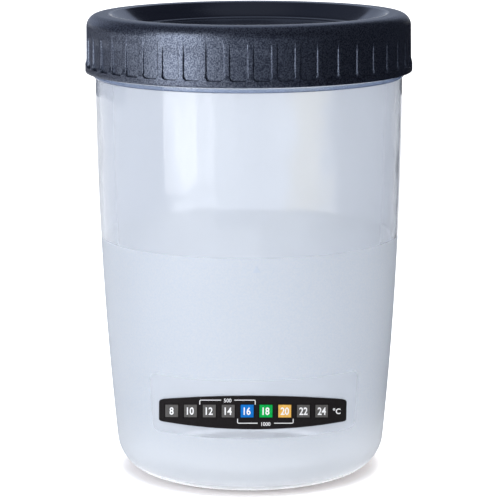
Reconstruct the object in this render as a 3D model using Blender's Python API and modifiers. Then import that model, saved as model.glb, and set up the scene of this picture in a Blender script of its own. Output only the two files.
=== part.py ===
"""Yogurt maker jar: a translucent moulded jar with a dark screw lid, a soft seal ring and a strip thermometer.

Lengths are in metres and +Z is up. The origin is the middle of the foot, and the strip faces -Y.
"""

from math import asin, atan2, ceil, cos, pi, radians, sin, sqrt, tan

import bmesh
import bpy
from mathutils import Matrix, Vector

# Fits between pieces
SEAT_GAP = 0.0003
THREAD_CLEARANCE = 0.0004
CUT_OVERRUN = 0.0020
WELD_DISTANCE = 0.00001

# Jar: heights of its rim, its ring and its wall
RIM_HEIGHT = 0.1628
NECK_TALL = 0.0167
RING_DEPTH = 0.0018
FROST_HEIGHT = 0.0870
WALL_FOOT_HEIGHT = 0.0125

# Jar: radii and walls
NECK_RADIUS = 0.0549
NECK_WALL = 0.0015
RIM_ROUNDING = 0.0005
WALL_STEP = 0.0004
RING_PROUD = 0.0005
RING_ROUNDING = 0.0003
WALL = 0.0020
WALL_BOW = 0.0063
FLOOR = 0.0022
BASE_ROUNDING = 0.0130
FOOT_WIDTH = 0.0026
PUSH_UP = 0.0025
PUSH_UP_RUN = 0.0022

# Jar: raised fill mark on the frost line's lower side
MARK_HEIGHT = 0.0828
MARK_RADIUS = 0.0017
MARK_PROUD = 0.0003

# Threads of the neck and the lid
THREAD_ROUND = 0.0011
THREAD_LEAD = 0.0100
THREAD_STARTS = 2
THREAD_TURN = radians(8)
THREAD_TURN_SHARE = 0.75
THREAD_END_SHARE = 0.3
THREAD_FADE_SHARE = 0.08
THREAD_TOP_LAND = 0.0039

# Lid
LID_WALL = 0.0021
LID_DRAFT = 0.0002
LID_SHOULDER = 0.0066
LID_BEAD_PROUD = 0.0005
LID_BEAD_DEPTH = 0.0034
LID_BEAD_ROUNDING = 0.0006
LID_EDGE_ROUNDING = 0.0003
LID_SINK = 0.0053
LID_SLOPE_RUN = 0.0072
LID_CREST_WIDTH = 0.0021
LID_CREST_ROUNDING = 0.0015
LID_FLOOR_ROUNDING = 0.0015
LID_PANEL_INSET = 0.0024
LID_PANEL_STEP = 0.0004
PLUG_DEPTH = 0.0040
PLUG_WALL = 0.0015

# Grip panels cut into the lid's wall
GRIP_PANELS = 45
GRIP_WIDTH = 0.0063
GRIP_DEPTH = 0.0005
GRIP_CORNER = 0.0015
GRIP_FOOT = 0.0022
GRIP_TOP_DROP = 0.0064

# Seal ring
SEAL_DEPTH = 0.0016
SEAL_ROUNDING = 0.0004

# Strip thermometer
STRIP_HEIGHT = 0.0319
STRIP_TURN = radians(-1.26)
STRIP_ROLL = radians(-0.64)
STRIP_READING_ANGLE = radians(13.9)
STRIP_HALF_LENGTH = 0.0332
STRIP_RISE = 0.0061
STRIP_TOP_BOW = 0.0012
STRIP_BOTTOM_BOW = 0.0030
STRIP_CORNER = 0.0012
STRIP_THICKNESS = 0.0008
POCKET_DEPTH = 0.0005

# Crystal windows of the strip, left to right
WINDOW_WIDTH = 0.0045
WINDOW_TALL = 0.0046
WINDOW_PITCH = 0.0066
WINDOW_LIFT = 0.0006
FIRST_WINDOW_OFFSET = -0.0287
WINDOW_DEGREES = range(8, 26, 2)

# Facets
JAR_STEPS = 56
LID_STEPS = 2 * GRIP_PANELS
FACET_LENGTH = 0.0024
MOST_FACETS = 6
CORNER_STEPS = 3
WALL_RINGS = 3
THREAD_POINTS = 36
THREAD_FACETS = 1
STRIP_COLUMNS = 16
WINDOW_COLUMNS = 2
SMOOTH_ANGLE = radians(35)

# Colours, linear
JAR_COLOUR = (0.66, 0.72, 0.82)
LID_COLOUR = (0.016, 0.018, 0.028)
SEAL_COLOUR = (0.75, 0.76, 0.78)
STRIP_COLOUR = (0.013, 0.011, 0.012)
RESTING_COLOUR = (0.10, 0.095, 0.09)
LIT_COLOURS = {16: (0.01, 0.16, 0.50), 18: (0.005, 0.37, 0.08), 20: (0.72, 0.43, 0.10)}

# Sizes that follow from those above
WALL_TOP_RADIUS = NECK_RADIUS + WALL_STEP
RING_TOP = RIM_HEIGHT - NECK_TALL
RING_HEIGHT = RING_TOP - RING_DEPTH
LID_EDGE = RING_TOP + SEAT_GAP
SKIRT_RADIUS = NECK_RADIUS + THREAD_ROUND + THREAD_CLEARANCE
LID_RADIUS = SKIRT_RADIUS + LID_WALL
CEILING = RIM_HEIGHT + SEAT_GAP + SEAL_DEPTH + SEAT_GAP
LID_TOP = CEILING + LID_WALL
THREAD_SPACING = THREAD_LEAD / THREAD_STARTS
THREAD_RISE = THREAD_LEAD * THREAD_TURN_SHARE
STRIP_FACE = SEAT_GAP + STRIP_THICKNESS


def new_collection(name):
    made = bpy.data.collections.new(name)
    bpy.context.scene.collection.children.link(made)
    return made


def clear_scene():
    for item in list(bpy.data.objects):
        bpy.data.objects.remove(item, do_unlink=True)


def new_object(name, mesh, collection):
    made = bpy.data.objects.new(name, mesh)
    collection.objects.link(made)
    return made


def hide_cutter(cutter):
    cutter.hide_render = True
    cutter.display_type = "WIRE"


def material(name, colour, roughness, transmission=0.0):
    made = bpy.data.materials.new(name)
    made.use_nodes = True
    shader = made.node_tree.nodes["Principled BSDF"]
    shader.inputs["Base Color"].default_value = (*colour, 1.0)
    shader.inputs["Roughness"].default_value = roughness
    shader.inputs["Metallic"].default_value = 0.0
    shader.inputs["Transmission Weight"].default_value = transmission
    made.diffuse_color = (*colour, 1.0)
    return made


def rounded_path(corners):
    """An open path of (radius, height) points, from corners given as (radius, height, rounding)."""
    path = [corners[0][:2]]
    for before, corner, after in zip(corners, corners[1:], corners[2:]):
        here = Vector(corner[:2])
        back = Vector(before[:2]) - here
        ahead = Vector(after[:2]) - here
        if not corner[2]:
            path.append(tuple(here))
            continue
        half_angle = back.angle(ahead) / 2
        room = min(leg.length / (2 if end[2] else 1) for leg, end in ((back, before), (ahead, after)))
        reach = min(corner[2] / tan(half_angle), room)
        middle = here + (back.normalized() + ahead.normalized()).normalized() * reach / cos(half_angle)
        first = here + back.normalized() * reach - middle
        last = here + ahead.normalized() * reach - middle
        sweep = atan2(first.cross(last), first.dot(last))
        steps = min(MOST_FACETS, ceil(abs(sweep) * first.length / FACET_LENGTH))
        for step in range(steps + 1):
            path.append(tuple(middle + Matrix.Rotation(sweep * step / steps, 2) @ first))
    path.append(corners[-1][:2])
    return path


def turned(name, path, steps, collection, closed=False):
    """A solid turned about Z from a path that runs down its outer side."""
    points = [(radius, 0.0, height) for radius, height in path]
    edges = [(i, i + 1) for i in range(len(points) - 1)]
    if closed:
        edges.append((len(points) - 1, 0))
    mesh = bpy.data.meshes.new(name)
    mesh.from_pydata(points, edges, [])
    made = new_object(name, mesh, collection)
    screw = made.modifiers.new("turn", "SCREW")
    screw.steps = screw.render_steps = steps
    screw.use_merge_vertices = True
    screw.merge_threshold = WELD_DISTANCE
    return made


def evaluated_mesh(source):
    depsgraph = bpy.context.evaluated_depsgraph_get()
    return bpy.data.meshes.new_from_object(source.evaluated_get(depsgraph))


def shade_round(made):
    """Keep what the modifiers make, shaded smooth between its true edges."""
    mesh = evaluated_mesh(made)
    made.modifiers.clear()
    made.data = mesh
    mesh.shade_smooth()
    mesh.set_sharp_from_angle(angle=SMOOTH_ANGLE)


def combine(made, other, operation):
    boolean = made.modifiers.new(other.name, "BOOLEAN")
    boolean.operation = operation
    boolean.object = other
    hide_cutter(other)


def wall_slope_at_foot():
    return 2 * WALL_BOW / (RING_HEIGHT - WALL_FOOT_HEIGHT)


def wall_radius(height):
    """Outer radius of the jar's wall: upright at the ring, then bowed in more and more down to the foot."""
    fallen_share = (RING_HEIGHT - height) / (RING_HEIGHT - WALL_FOOT_HEIGHT)
    return WALL_TOP_RADIUS - WALL_BOW * fallen_share ** 2


def wall_heights():
    """Heights of the wall's rings, from the foot to the frost line and on to the ring."""
    lower = FROST_HEIGHT - WALL_FOOT_HEIGHT
    upper = RING_HEIGHT - FROST_HEIGHT
    below = [WALL_FOOT_HEIGHT + lower * i / WALL_RINGS for i in range(WALL_RINGS)]
    return below + [FROST_HEIGHT + upper * i / WALL_RINGS for i in range(WALL_RINGS + 1)]


def base_corner_radius(height, inset):
    """Where the wall's lowest stretch, drawn on straight, reaches a height below it."""
    return wall_radius(WALL_FOOT_HEIGHT) - inset - wall_slope_at_foot() * (WALL_FOOT_HEIGHT - height)


def jar_path():
    """The jar's section, from the middle of its floor up inside, over the rim and down outside."""
    foot_outer = base_corner_radius(0.0, 0.0) - BASE_ROUNDING
    foot_inner = foot_outer - FOOT_WIDTH
    push_radius = foot_inner - PUSH_UP_RUN
    inside = [
        (0.0, PUSH_UP + FLOOR, 0.0),
        (push_radius + FLOOR / 2, PUSH_UP + FLOOR, PUSH_UP_RUN),
        (foot_inner + FLOOR / 2, FLOOR, FLOOR / 2),
    ]
    inner_wall = [(wall_radius(height) - WALL, height, 0.0) for height in wall_heights()]
    neck = [
        (NECK_RADIUS - NECK_WALL, RING_TOP, 0.0),
        (NECK_RADIUS - NECK_WALL, RIM_HEIGHT, RIM_ROUNDING),
        (NECK_RADIUS, RIM_HEIGHT, RIM_ROUNDING),
        (NECK_RADIUS, RING_TOP, 0.0),
        (WALL_TOP_RADIUS + RING_PROUD, RING_TOP, RING_ROUNDING),
        (WALL_TOP_RADIUS + RING_PROUD, RING_HEIGHT, RING_ROUNDING),
    ]
    outer_wall = [(wall_radius(height), height, 0.0) for height in reversed(wall_heights())]
    foot = [
        (foot_inner, 0.0, 0.0),
        (push_radius, PUSH_UP, 0.0),
        (0.0, PUSH_UP, 0.0),
    ]
    inner_base = (base_corner_radius(FLOOR, WALL), FLOOR, BASE_ROUNDING - WALL)
    outer_base = (base_corner_radius(0.0, 0.0), 0.0, BASE_ROUNDING)
    return rounded_path([*inside, inner_base, *inner_wall, *neck, *outer_wall, outer_base, *foot])


def lid_path():
    """The lid's section, from the middle of its top, out over the crest, down outside and back inside."""
    crest_radius = LID_RADIUS - LID_DRAFT - LID_SHOULDER
    slope_top = crest_radius - LID_CREST_WIDTH
    sink_radius = slope_top - LID_SLOPE_RUN
    panel_radius = sink_radius - LID_PANEL_INSET
    sunk_floor = LID_TOP - LID_SINK
    slope_angle = atan2(LID_SINK, LID_SLOPE_RUN)
    under_radius = sink_radius + LID_WALL * tan(slope_angle / 2)
    plug_outer = NECK_RADIUS - NECK_WALL - PLUG_WALL
    plug_inner = plug_outer - PLUG_WALL
    plug_root = sunk_floor - LID_WALL + (plug_inner - under_radius) * tan(slope_angle)
    bead_top = LID_EDGE + LID_BEAD_DEPTH
    top = [
        (0.0, sunk_floor - LID_PANEL_STEP, 0.0),
        (panel_radius, sunk_floor - LID_PANEL_STEP, 0.0),
        (panel_radius + LID_PANEL_STEP, sunk_floor, 0.0),
        (sink_radius, sunk_floor, LID_FLOOR_ROUNDING),
        (slope_top, LID_TOP, LID_CREST_ROUNDING),
    ]
    side = [
        (LID_RADIUS - LID_DRAFT, LID_TOP, LID_SHOULDER),
        (LID_RADIUS, bead_top, 0.0),
        (LID_RADIUS + LID_BEAD_PROUD, bead_top - LID_BEAD_ROUNDING, LID_BEAD_ROUNDING),
        (LID_RADIUS + LID_BEAD_PROUD, LID_EDGE + 2 * LID_BEAD_ROUNDING, LID_BEAD_ROUNDING),
        (LID_RADIUS, LID_EDGE, LID_EDGE_ROUNDING),
        (SKIRT_RADIUS, LID_EDGE, LID_EDGE_ROUNDING),
        (SKIRT_RADIUS, CEILING, 0.0),
    ]
    underside = [
        (plug_outer, CEILING, 0.0),
        (plug_outer, CEILING - PLUG_DEPTH, LID_EDGE_ROUNDING),
        (plug_inner, CEILING - PLUG_DEPTH, LID_EDGE_ROUNDING),
        (plug_inner, plug_root, 0.0),
        (under_radius, sunk_floor - LID_WALL, 0.0),
        (0.0, sunk_floor - LID_WALL, 0.0),
    ]
    return rounded_path([*top, *side, *underside])


def seal_path():
    inner = NECK_RADIUS - NECK_WALL - PLUG_WALL + SEAT_GAP
    outer = SKIRT_RADIUS - SEAT_GAP
    low = RIM_HEIGHT + SEAT_GAP
    high = CEILING - SEAT_GAP
    middle = (inner + outer) / 2
    corners = [
        (middle, high, 0.0),
        (outer, high, SEAL_ROUNDING),
        (outer, low, SEAL_ROUNDING),
        (inner, low, SEAL_ROUNDING),
        (inner, high, SEAL_ROUNDING),
        (middle, high, 0.0),
    ]
    return rounded_path(corners)[:-1]


def thread_ridges(name, radius, lowest, collection):
    """Round ridges wound to the right on a cylinder, one for each start, thinner at both ends."""
    curve = bpy.data.curves.new(name, "CURVE")
    curve.dimensions = "3D"
    curve.bevel_depth = THREAD_ROUND
    curve.bevel_resolution = THREAD_FACETS
    curve.use_fill_caps = True
    for start in range(THREAD_STARTS):
        spline = curve.splines.new("POLY")
        spline.points.add(THREAD_POINTS - 1)
        for i, point in enumerate(spline.points):
            along = i / (THREAD_POINTS - 1)
            turn = THREAD_TURN + 2 * pi * (start / THREAD_STARTS + along * THREAD_TURN_SHARE)
            point.co = (radius * cos(turn), radius * sin(turn), lowest + along * THREAD_RISE, 1.0)
            fade = min(along, 1 - along) / THREAD_FADE_SHARE
            point.radius = min(1.0, THREAD_END_SHARE + (1 - THREAD_END_SHARE) * fade)
    wound = new_object(name, curve, collection)
    mesh = evaluated_mesh(wound)
    welded = bmesh.new()
    welded.from_mesh(mesh)
    bmesh.ops.remove_doubles(welded, verts=welded.verts, dist=WELD_DISTANCE)
    welded.to_mesh(mesh)
    welded.free()
    made = new_object(name, mesh, collection)
    made.matrix_world = wound.matrix_world
    bpy.data.objects.remove(wound, do_unlink=True)
    return made


def fill_mark(collection):
    """A small raised triangle on the front of the wall, pointing up."""
    depth = MARK_PROUD + WALL / 2
    bm = bmesh.new()
    bmesh.ops.create_cone(
        bm, cap_ends=True, segments=3, radius1=MARK_RADIUS, radius2=MARK_RADIUS, depth=depth,
    )
    mesh = bpy.data.meshes.new("fill_mark")
    point_up = Matrix.Rotation(radians(90), 4, "X")
    reach = wall_radius(MARK_HEIGHT) + MARK_PROUD - depth / 2
    bmesh.ops.transform(bm, matrix=Matrix.Translation((0.0, -reach, MARK_HEIGHT)) @ point_up, verts=bm.verts)
    bm.to_mesh(mesh)
    bm.free()
    return new_object("fill_mark", mesh, collection)


def grip_cutter(collection):
    """Blocks with two rounded lower corners, which lean out to meet the lid's shoulder near its top."""
    foot = LID_EDGE + GRIP_FOOT
    top = LID_TOP - GRIP_TOP_DROP
    shoulder_middle = LID_TOP - LID_SHOULDER
    shoulder_radius = LID_RADIUS - LID_DRAFT - LID_SHOULDER + sqrt(LID_SHOULDER ** 2 - (top - shoulder_middle) ** 2)
    floor_radius = LID_RADIUS - GRIP_DEPTH
    lean = atan2(shoulder_radius - floor_radius, top - foot)
    depth = GRIP_DEPTH + CUT_OVERRUN
    height = LID_TOP + CUT_OVERRUN - foot
    panel = bmesh.new()
    bmesh.ops.create_cube(panel, size=1.0)
    bmesh.ops.scale(panel, vec=(depth, GRIP_WIDTH, height), verts=panel.verts)
    bmesh.ops.translate(panel, vec=(depth / 2, 0.0, height / 2), verts=panel.verts)
    lower = [edge for edge in panel.edges if all(vert.co.z < height / 2 for vert in edge.verts)]
    corners = [edge for edge in lower if edge.verts[0].co.y == edge.verts[1].co.y]
    bmesh.ops.bevel(
        panel, geom=corners, offset=GRIP_CORNER, segments=CORNER_STEPS, profile=0.5, affect="EDGES",
    )
    placed = Matrix.Translation((floor_radius, 0.0, foot)) @ Matrix.Rotation(lean, 4, "Y")
    bmesh.ops.transform(panel, matrix=placed, verts=panel.verts)
    template = bpy.data.meshes.new("grip_panel")
    panel.to_mesh(template)
    panel.free()
    ring = bmesh.new()
    for i in range(GRIP_PANELS):
        known = len(ring.verts)
        ring.from_mesh(template)
        turn = Matrix.Rotation(2 * pi * i / GRIP_PANELS, 4, "Z")
        bmesh.ops.transform(ring, matrix=turn, verts=list(ring.verts)[known:])
    mesh = bpy.data.meshes.new("grip_cutter")
    ring.to_mesh(mesh)
    ring.free()
    bpy.data.meshes.remove(template)
    return new_object("grip_cutter", mesh, collection)


def wrap_on_wall(across, up, out):
    """Place a point of the flat strip on the jar's wall, out from it by the given length.

    The strip is arched so that it looks straight from the reading angle above it, and its ends are upright.
    """
    across, up = Matrix.Rotation(STRIP_ROLL, 2) @ Vector((across, up))
    front_radius = wall_radius(STRIP_HEIGHT) + STRIP_FACE
    droop = (front_radius - sqrt(front_radius ** 2 - across ** 2)) * tan(STRIP_READING_ANGLE)
    height = STRIP_HEIGHT + up - droop
    azimuth = asin(across / (wall_radius(height) + STRIP_FACE)) + STRIP_TURN
    radius = wall_radius(height) + out
    return Vector((radius * sin(azimuth), -radius * cos(azimuth), height))


def bow(across, up):
    """Narrow the strip's outline towards its ends."""
    drop = STRIP_TOP_BOW if up > 0 else STRIP_BOTTOM_BOW
    return up * (1 - drop / STRIP_RISE * (across / STRIP_HALF_LENGTH) ** 2)


def wrapped_plate(name, middle, size, span, columns, collection, corner=0.0, bowed=False):
    """A flat plate laid on the wall: its middle and size across and up, and its span out from the wall."""
    inner, outer = span
    bm = bmesh.new()
    bmesh.ops.create_cube(bm, size=1.0)
    bmesh.ops.scale(bm, vec=(size[0], size[1], outer - inner), verts=bm.verts)
    bmesh.ops.translate(bm, vec=(middle[0], middle[1], (inner + outer) / 2), verts=bm.verts)
    if corner:
        upright = [edge for edge in bm.edges if edge.verts[0].co.xy == edge.verts[1].co.xy]
        bmesh.ops.bevel(bm, geom=upright, offset=corner, segments=CORNER_STEPS, profile=0.5, affect="EDGES")
    for i in range(1, columns):
        cut_at = middle[0] + size[0] * (i / columns - 1 / 2)
        geometry = bm.verts[:] + bm.edges[:] + bm.faces[:]
        bmesh.ops.bisect_plane(bm, geom=geometry, dist=WELD_DISTANCE, plane_co=(cut_at, 0, 0), plane_no=(1, 0, 0))
    for vert in bm.verts:
        across, up, out = vert.co
        vert.co = wrap_on_wall(across, bow(across, up) if bowed else up, out)
    mesh = bpy.data.meshes.new(name)
    bm.to_mesh(mesh)
    bm.free()
    return new_object(name, mesh, collection)


def make_jar(parts, cutters):
    jar = turned("jar_body", jar_path(), JAR_STEPS, parts)
    lowest = RIM_HEIGHT - THREAD_TOP_LAND - THREAD_RISE
    combine(jar, thread_ridges("neck_thread", NECK_RADIUS, lowest, cutters), "UNION")
    combine(jar, fill_mark(cutters), "UNION")
    shade_round(jar)
    jar.data.materials.append(material("jar_plastic", JAR_COLOUR, 0.3, transmission=0.5))


def make_lid(parts, cutters):
    lid = turned("lid", lid_path(), LID_STEPS, parts)
    lowest = RIM_HEIGHT - THREAD_TOP_LAND - THREAD_RISE - THREAD_SPACING / 2
    combine(lid, grip_cutter(cutters), "DIFFERENCE")
    combine(lid, thread_ridges("lid_thread", SKIRT_RADIUS, lowest, cutters), "UNION")
    shade_round(lid)
    lid.data.materials.append(material("lid_plastic", LID_COLOUR, 0.5))


def make_seal(parts):
    seal = turned("lid_seal_ring", seal_path(), JAR_STEPS, parts, closed=True)
    shade_round(seal)
    seal.data.materials.append(material("seal_rubber", SEAL_COLOUR, 0.6))


def make_strip(parts, cutters):
    carrier = wrapped_plate(
        "strip_carrier",
        (0.0, 0.0),
        (2 * STRIP_HALF_LENGTH, 2 * STRIP_RISE),
        (SEAT_GAP, STRIP_FACE),
        STRIP_COLUMNS,
        parts,
        corner=STRIP_CORNER,
        bowed=True,
    )
    for i, degrees in enumerate(WINDOW_DEGREES):
        middle = (FIRST_WINDOW_OFFSET + i * WINDOW_PITCH, WINDOW_LIFT)
        pocket_size = (WINDOW_WIDTH + 2 * SEAT_GAP, WINDOW_TALL + 2 * SEAT_GAP)
        pocket_span = (STRIP_FACE - POCKET_DEPTH, STRIP_FACE + CUT_OVERRUN)
        pocket = wrapped_plate(f"pocket_{degrees:02d}", middle, pocket_size, pocket_span, WINDOW_COLUMNS, cutters)
        combine(carrier, pocket, "DIFFERENCE")
        window_span = (STRIP_FACE - POCKET_DEPTH + SEAT_GAP, STRIP_FACE)
        size = (WINDOW_WIDTH, WINDOW_TALL)
        window = wrapped_plate(
            f"crystal_window_{degrees:02d}", middle, size, window_span, WINDOW_COLUMNS, parts,
        )
        colour = LIT_COLOURS.get(degrees, RESTING_COLOUR)
        window.data.materials.append(material(f"crystal_{degrees:02d}", colour, 0.4))
    shade_round(carrier)
    carrier.data.materials.append(material("strip_black", STRIP_COLOUR, 0.4))


def main():
    clear_scene()
    parts = new_collection("yogurt_maker_jar")
    cutters = new_collection("cutters")
    make_jar(parts, cutters)
    make_lid(parts, cutters)
    make_seal(parts)
    make_strip(parts, cutters)


main()
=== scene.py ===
"""Looks of the yogurt maker jar: a finer jar and lid, printed figures, materials, light and camera.

Lengths are in metres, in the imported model's frame: +Z up, the strip to the front at -Y.
Azimuths run from the front towards +X.
"""

from math import asin, atan2, ceil, cos, floor, hypot, pi, radians, sin, sqrt, tan

import bmesh
import bpy
from mathutils import Matrix, Quaternion, Vector


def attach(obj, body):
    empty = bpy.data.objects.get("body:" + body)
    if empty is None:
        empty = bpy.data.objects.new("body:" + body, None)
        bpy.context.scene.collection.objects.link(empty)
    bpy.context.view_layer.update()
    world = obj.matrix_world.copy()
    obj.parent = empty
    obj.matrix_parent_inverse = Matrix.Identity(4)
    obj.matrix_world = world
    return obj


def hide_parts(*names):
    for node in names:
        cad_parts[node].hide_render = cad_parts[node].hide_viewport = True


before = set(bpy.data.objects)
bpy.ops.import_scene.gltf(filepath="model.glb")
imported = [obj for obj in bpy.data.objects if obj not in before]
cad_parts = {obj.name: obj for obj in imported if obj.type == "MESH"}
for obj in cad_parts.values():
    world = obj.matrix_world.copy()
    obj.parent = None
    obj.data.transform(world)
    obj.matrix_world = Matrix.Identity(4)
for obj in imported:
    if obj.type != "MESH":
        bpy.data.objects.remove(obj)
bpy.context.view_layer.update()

# Fits between pieces, as in the part's source
SEAT_GAP = 0.0003
THREAD_CLEARANCE = 0.0004

# Jar
RIM_HEIGHT = 0.1628
NECK_TALL = 0.0167
RING_DEPTH = 0.0018
FROST_HEIGHT = 0.0870
WALL_FOOT_HEIGHT = 0.0125
NECK_RADIUS = 0.0549
NECK_WALL = 0.0015
RIM_ROUNDING = 0.0005
WALL_STEP = 0.0004
RING_PROUD = 0.0005
RING_ROUNDING = 0.0003
WALL = 0.0020
WALL_BOW = 0.0063
FLOOR = 0.0022
BASE_ROUNDING = 0.0130
FOOT_WIDTH = 0.0026
PUSH_UP = 0.0025
PUSH_UP_RUN = 0.0022
MARK_HEIGHT = 0.0828
MARK_RADIUS = 0.0017
MARK_PROUD = 0.0001

# Polished window in the frosted wall, and the frosted wall's lower edge
WINDOW_LOW = 0.0220
WINDOW_HIGH = 0.0433
WINDOW_TURN = radians(-0.5)
WINDOW_HALF_TURN = radians(46)
WINDOW_CORNER = 0.0030
FROST_FOOT = 0.0030

# Threads
THREAD_ROUND = 0.0011
THREAD_LEAD = 0.0100
THREAD_STARTS = 2
THREAD_TURN = radians(8)
THREAD_TURN_SHARE = 0.75
THREAD_END_SHARE = 0.3
THREAD_FADE_SHARE = 0.08
THREAD_TOP_LAND = 0.0039

# Lid
LID_WALL = 0.0021
LID_DRAFT = 0.0002
LID_SHOULDER = 0.0066
LID_BEAD_PROUD = 0.00045
LID_BEAD_DEPTH = 0.0034
LID_BEAD_FLARE = 0.0012
LID_BEAD_ROUNDING = 0.0006
LID_EDGE_ROUNDING = 0.0003
LID_SINK = 0.0053
LID_SLOPE_RUN = 0.0072
LID_CREST_WIDTH = 0.0021
LID_CREST_ROUNDING = 0.0015
LID_FLOOR_ROUNDING = 0.0015
LID_PANEL_INSET = 0.0024
LID_PANEL_STEP = 0.0004
LID_PANEL_ROUNDING = 0.0002
PLUG_DEPTH = 0.0040
PLUG_WALL = 0.0015
SEAL_DEPTH = 0.0016
GRIP_PANELS = 45
GRIP_WIDTH = 0.0063
GRIP_DEPTH = 0.0005
GRIP_FOOT = 0.0022
GRIP_CORNER = 0.0015
GRIP_TOP_DROP = 0.0064
GRIP_FADE = 0.0040

# Strip thermometer
STRIP_HEIGHT = 0.0319
STRIP_TURN = radians(-1.26)
STRIP_ROLL = radians(-0.64)
STRIP_READING_ANGLE = radians(13.9)
STRIP_THICKNESS = 0.0008
WINDOW_PITCH = 0.0066
WINDOW_LIFT = 0.0006
FIRST_WINDOW_OFFSET = -0.0287
WINDOW_DEGREES = range(8, 26, 2)

# Sizes that follow
WALL_TOP_RADIUS = NECK_RADIUS + WALL_STEP
RING_TOP = RIM_HEIGHT - NECK_TALL
RING_HEIGHT = RING_TOP - RING_DEPTH
LID_EDGE = RING_TOP + SEAT_GAP
SKIRT_RADIUS = NECK_RADIUS + THREAD_ROUND + THREAD_CLEARANCE
LID_RADIUS = SKIRT_RADIUS + LID_WALL
CEILING = RIM_HEIGHT + SEAT_GAP + SEAL_DEPTH + SEAT_GAP
LID_TOP = CEILING + LID_WALL
THREAD_SPACING = THREAD_LEAD / THREAD_STARTS
THREAD_RISE = THREAD_LEAD * THREAD_TURN_SHARE
STRIP_FACE = SEAT_GAP + STRIP_THICKNESS

# Facets of curves and corners
NOTHING = 1e-7
COARSE_STEP = 0.0060
JAR_FACET = 0.0009
JAR_MOST_FACETS = 14
JAR_COLUMNS = 190
JAR_SHARP_ANGLE = radians(50)
JAR_THREAD_STEP = 0.00028
WALL_RINGS = 32
LID_FACET = 0.0006
LID_MOST_FACETS = 16
LID_SHARP_ANGLE = radians(60)
LID_SIDE_STEP = 0.0008
LID_INSIDE_STEP = 0.0030
LID_THREAD_STEP = 0.0003
LID_STRIDE = 4

# Finer facets around the fill mark: its columns and rows, how far they reach, and its soft edge
MARK_COLUMN = 0.000115
MARK_COLUMNS = 17
MARK_STEP = 0.00012
MARK_REACH = 1.3 * MARK_RADIUS
MARK_REACH_ANGLE = 0.05
MARK_EDGE = (-0.00020, 0.00030)

# Finer facets of the grip panels: columns beside a panel's edge, 24 to a panel with their mirror images,
# rows in its corners and in its faded top, and its soft edge
GRIP_COLUMNS = (
    -0.0021, -0.0015, -0.0011, -0.0008, -0.00055, -0.00035, -0.00018, -0.00010, -0.00002, 0.00008, 0.00035
)
GRIP_CORNER_STEP = 0.0001
GRIP_CORNER_MARGIN = 0.0002
GRIP_FADE_STEP = 0.0003
GRIP_FADE_MARGIN = 0.0004
GRIP_FINE_BELOW = 0.0006
GRIP_FINE_ABOVE = 0.0010
GRIP_EDGE = (-0.00003, 0.00017)


# Shapes

def rounded_path(corners, facet, most):
    """An open path of (radius, height) points, from corners given as (radius, height, rounding)."""
    path = [corners[0][:2]]
    for before, corner, after in zip(corners, corners[1:], corners[2:]):
        here = Vector(corner[:2])
        back = Vector(before[:2]) - here
        ahead = Vector(after[:2]) - here
        if not corner[2]:
            path.append(tuple(here))
            continue
        half_angle = back.angle(ahead) / 2
        room = min(leg.length / (2 if end[2] else 1) for leg, end in ((back, before), (ahead, after)))
        reach = min(corner[2] / tan(half_angle), room)
        middle = here + (back.normalized() + ahead.normalized()).normalized() * reach / cos(half_angle)
        first = here + back.normalized() * reach - middle
        last = here + ahead.normalized() * reach - middle
        sweep = atan2(first.cross(last), first.dot(last))
        steps = max(2, min(most, ceil(abs(sweep) * first.length / facet)))
        for step in range(steps + 1):
            path.append(tuple(middle + Matrix.Rotation(sweep * step / steps, 2) @ first))
    path.append(corners[-1][:2])
    return path


def densify(path, longest):
    """Split each stretch of a path into pieces no longer than longest(radius, height, index) says."""
    made = [path[0]]
    for i, (a, b) in enumerate(zip(path, path[1:])):
        length = hypot(b[0] - a[0], b[1] - a[1])
        if length < NOTHING:
            continue
        pieces = max(1, ceil(length / longest((a[0] + b[0]) / 2, (a[1] + b[1]) / 2, i)))
        for k in range(1, pieces + 1):
            made.append((a[0] + (b[0] - a[0]) * k / pieces, a[1] + (b[1] - a[1]) * k / pieces))
    return made


def turned_mesh(name, path, azimuths, place, slot_of, stride_of=lambda row: 1):
    """A closed solid turned about Z from a path that starts and ends on the axis.

    place(radius, height, azimuth, row) gives each vertex its radius, slot_of(row) its faces' material
    and stride_of(row) how many columns one of its faces spans.
    """
    verts, rings = [], []
    for row, (radius, height) in enumerate(path):
        ring = {}
        for i in range(0, len(azimuths), stride_of(row)):
            if radius < NOTHING:
                ring[i] = len(verts)
                continue
            out = place(radius, height, azimuths[i], row)
            ring[i] = len(verts)
            verts.append((out * sin(azimuths[i]), -out * cos(azimuths[i]), height))
        if radius < NOTHING:
            verts.append((0.0, 0.0, height))
        rings.append(ring)
    faces, slots = [], []
    count = len(azimuths)
    for row, (upper, lower) in enumerate(zip(rings, rings[1:])):
        step = max(stride_of(row), stride_of(row + 1))
        for i in range(0, count, step):
            columns = [k % count for k in range(i, i + step + 1)]
            down = [lower[k] for k in columns if k in lower]
            back = [upper[k] for k in reversed(columns) if k in upper]
            corners = [*down, *back]
            face = [c for k, c in enumerate(corners) if c != corners[k - 1]]
            if len(face) > 2:
                faces.append(face)
                slots.append(slot_of(row))
    mesh = bpy.data.meshes.new(name)
    mesh.from_pydata(verts, [], faces)
    mesh.polygons.foreach_set("material_index", slots)
    mesh.shade_smooth()
    mesh.update()
    return mesh


def add_piece(name, mesh, body, materials, replaced=()):
    piece = bpy.data.objects.new(name, mesh)
    bpy.context.scene.collection.objects.link(piece)
    for material in materials:
        mesh.materials.append(material)
    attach(piece, body)
    if replaced:
        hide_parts(*replaced)


def wall_slope_at_foot():
    return 2 * WALL_BOW / (RING_HEIGHT - WALL_FOOT_HEIGHT)


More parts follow.
